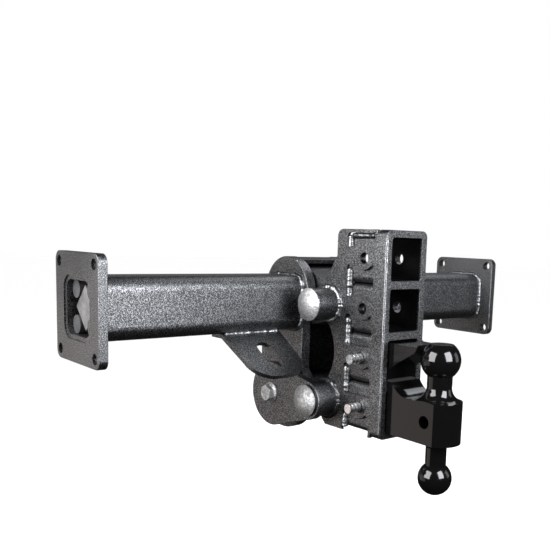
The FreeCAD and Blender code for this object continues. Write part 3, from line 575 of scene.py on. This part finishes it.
def add_lobes():
    """Round lobes that dip into the cheeks' windows under each hitch-pin hole."""
    hole_y = node_centre("hitch_pin_upper").y
    for name, side in SIDES:
        faces_x = (side * (CHEEK_INNER + LOBE_INSET), side * (CHEEK_OUTER - LOBE_BELOW_FACE))
        for number in TUBE_NUMBERS:
            hole_z = node_centre(f"receiver_tube_{number}").z
            plate_piece(f"lobe_{name}_{number}", "receiver", lobe_outline(hole_y, hole_z), faces_x,
                        LOBE_CHAMFER)


def edge_strip(name, body, x, y, low_z, high_z, side):
    """A rounded strip up a plate's vertical edge, where the coat has run smooth, in the lighter
    coat that paints a highlight along the edge.
    """
    vertices = []
    faces = []
    for row in range(STRIP_ROWS + 1):
        z = low_z + (high_z - low_z) * row / STRIP_ROWS
        swell = 1.0 + STRIP_SWELL * noise.noise(Vector((x * 10, z * 90, 0.0)))
        reach = STRIP_RADIUS * swell
        for step in range(STRIP_SIDES + 1):
            angle = math.radians(90 * step / STRIP_SIDES)
            vertices.append((x + side * (math.cos(angle) - 1) * reach + side * STRIP_PROUD,
                             y - (math.sin(angle) - 1) * reach - STRIP_PROUD, z))
    for row in range(STRIP_ROWS):
        for step in range(STRIP_SIDES):
            here = row * (STRIP_SIDES + 1) + step
            above = here + STRIP_SIDES + 1
            faces.append((here, here + 1, above + 1, above))
    mesh = bpy.data.meshes.new(name)
    mesh.from_pydata(vertices, [], faces)
    mesh.shade_smooth()
    add_piece(name, body, mesh, "painted_highlight_coat")


def add_edge_strips():
    """Strips up the collar's two front edges."""
    collar_low, collar_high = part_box("receiver_collar")
    for name, side in SIDES:
        edge_x = collar_high.x if side > 0 else collar_low.x
        edge_strip(f"collar_edge_{name}", "receiver", edge_x, collar_low.y,
                   collar_low.z + STRIP_INSET, collar_high.z - STRIP_INSET, side)


# ---------------------------------------------------------------- stage, lights and camera

FLOOR_Z = -0.62
CAMERA_PLACE = Vector((-0.7987, -0.9769, 0.1040))
CAMERA_HEADING = 41.87
CAMERA_PITCH = -7.86
CAMERA_ROLL = 2.04
CAMERA_LENS = 47.88
CAMERA_SENSOR = 36.0
CAMERA_SHIFT = (-0.1269, 0.1204)
COOL = (0.94, 0.955, 1.0)
WHITE = (0.99, 0.99, 1.0)
WARM = (1.0, 0.87, 0.82)
SOFTBOX_AIM = (0.0, -0.2, -0.05)
# name, place, point it faces, width, height, radiance, colour
SOFTBOXES = (
    ("softbox_left", (-1.12, 0.0, 0.36), SOFTBOX_AIM, 0.95, 1.05, 11.4, WHITE),
    ("softbox_front", (-0.02, -1.20, 0.38), SOFTBOX_AIM, 0.66, 0.90, 16.5, COOL),
    ("softbox_right", (1.10, -1.10, 0.20), SOFTBOX_AIM, 0.60, 0.80, 1.7, COOL),
    ("backdrop", (0.4, 2.2, 0.3), (0.0, 0.0, 0.0), 4.5, 2.4, 0.2, COOL),
    ("softbox_top", (0.85, 0.10, 1.1), (0.0, -0.1, 0.0), 0.9, 0.9, 2.6, COOL),
    ("bounce", (-1.0, 0.75, -0.35), (0.0, -0.2, -0.1), 1.2, 0.7, 0.75, WARM),
)
ROOM_COLOUR = (1.0, 0.96, 0.93, 1.0)
ROOM_STRENGTH = 0.02
FLOOR_HALF = 20.0
FLOOR_LIGHT = 3.4
FLOOR_LIGHT_ANGLE = 70
FLOOR_GREY = 0.9


def place_camera():
    """The camera looks along a heading from +Y towards +X."""
    heading = math.radians(CAMERA_HEADING)
    pitch = math.radians(CAMERA_PITCH)
    roll = math.radians(CAMERA_ROLL)
    forward = Vector((math.sin(heading) * math.cos(pitch), math.cos(heading) * math.cos(pitch),
                      math.sin(pitch)))
    level = forward.cross(Vector((0, 0, 1))).normalized()
    upright = level.cross(forward)
    right = level * math.cos(roll) + upright * math.sin(roll)
    up = right.cross(forward)
    lens = bpy.data.cameras.new("camera")
    lens.lens = CAMERA_LENS
    lens.sensor_width = CAMERA_SENSOR
    lens.shift_x, lens.shift_y = CAMERA_SHIFT
    lens.clip_start = 0.01
    lens.clip_end = 50.0
    camera = bpy.data.objects.new("camera", lens)
    turn = Matrix((right, up, -forward)).transposed().to_4x4()
    camera.matrix_world = Matrix.Translation(CAMERA_PLACE) @ turn
    bpy.context.scene.collection.objects.link(camera)
    bpy.context.scene.camera = camera


def softbox(name, place, aim, width, height, radiance, colour):
    """A rectangular light at a place, turned to face a point."""
    lamp = bpy.data.lights.new(name, "AREA")
    lamp.shape = "RECTANGLE"
    lamp.size = width
    lamp.size_y = height
    lamp.energy = radiance * math.pi * width * height
    lamp.color = colour
    box = bpy.data.objects.new(name, lamp)
    box.location = place
    away = (Vector(place) - Vector(aim)).normalized()
    box.rotation_euler = away.to_track_quat("Z", "Y").to_euler()
    box.visible_camera = False
    bpy.context.scene.collection.objects.link(box)


def light_stage():
    """Softboxes round the object, in a dim room with a white backdrop."""
    for name, place, aim, width, height, radiance, colour in SOFTBOXES:
        softbox(name, place, aim, width, height, radiance, colour)
    world = bpy.data.worlds.new("studio")
    world.use_nodes = True
    tree = world.node_tree
    room = tree.nodes["Background"]
    room.inputs["Color"].default_value = ROOM_COLOUR
    room.inputs["Strength"].default_value = ROOM_STRENGTH
    backdrop = tree.nodes.new("ShaderNodeBackground")
    backdrop.inputs["Strength"].default_value = 1.0
    backdrop.inputs["Color"].default_value = grey(1.0)
    path = tree.nodes.new("ShaderNodeLightPath")
    mix = tree.nodes.new("ShaderNodeMixShader")
    tree.links.new(path.outputs["Is Camera Ray"], mix.inputs["Fac"])
    tree.links.new(room.outputs["Background"], mix.inputs[1])
    tree.links.new(backdrop.outputs["Background"], mix.inputs[2])
    tree.links.new(mix.outputs["Shader"], tree.nodes["World Output"].inputs["Surface"])
    bpy.context.scene.world = world
    bpy.context.scene.view_settings.view_transform = "Standard"


def lay_floor():
    """A plain pale floor, lit evenly by a light of its own."""
    mesh = bpy.data.meshes.new("floor")
    corners = [(-FLOOR_HALF, -FLOOR_HALF, FLOOR_Z), (FLOOR_HALF, -FLOOR_HALF, FLOOR_Z),
               (FLOOR_HALF, FLOOR_HALF, FLOOR_Z), (-FLOOR_HALF, FLOOR_HALF, FLOOR_Z)]
    mesh.from_pydata(corners, [], [(0, 1, 2, 3)])
    floor = bpy.data.objects.new("floor", mesh)
    bpy.context.scene.collection.objects.link(floor)
    g = Graph("floor_paint")
    g.surface(Base_Color=grey(FLOOR_GREY), Roughness=0.9)
    g.shader.inputs["Specular IOR Level"].default_value = 0.0
    mesh.materials.append(g.material)
    floor.visible_glossy = False
    floor.visible_diffuse = False
    sun = bpy.data.lights.new("floor_light", "SUN")
    sun.energy = FLOOR_LIGHT
    sun.angle = math.radians(FLOOR_LIGHT_ANGLE)
    lamp = bpy.data.objects.new("floor_light", sun)
    bpy.context.scene.collection.objects.link(lamp)
    only_floor = bpy.data.collections.new("floor_only")
    only_floor.objects.link(floor)
    lamp.light_linking.receiver_collection = only_floor


dress_frame()
weld_crossmember()
weld_cover()
weld_receiver()
add_lobes()
add_edge_strips()
place_camera()
light_stage()
lay_floor()

bpy.context.view_layer.update()
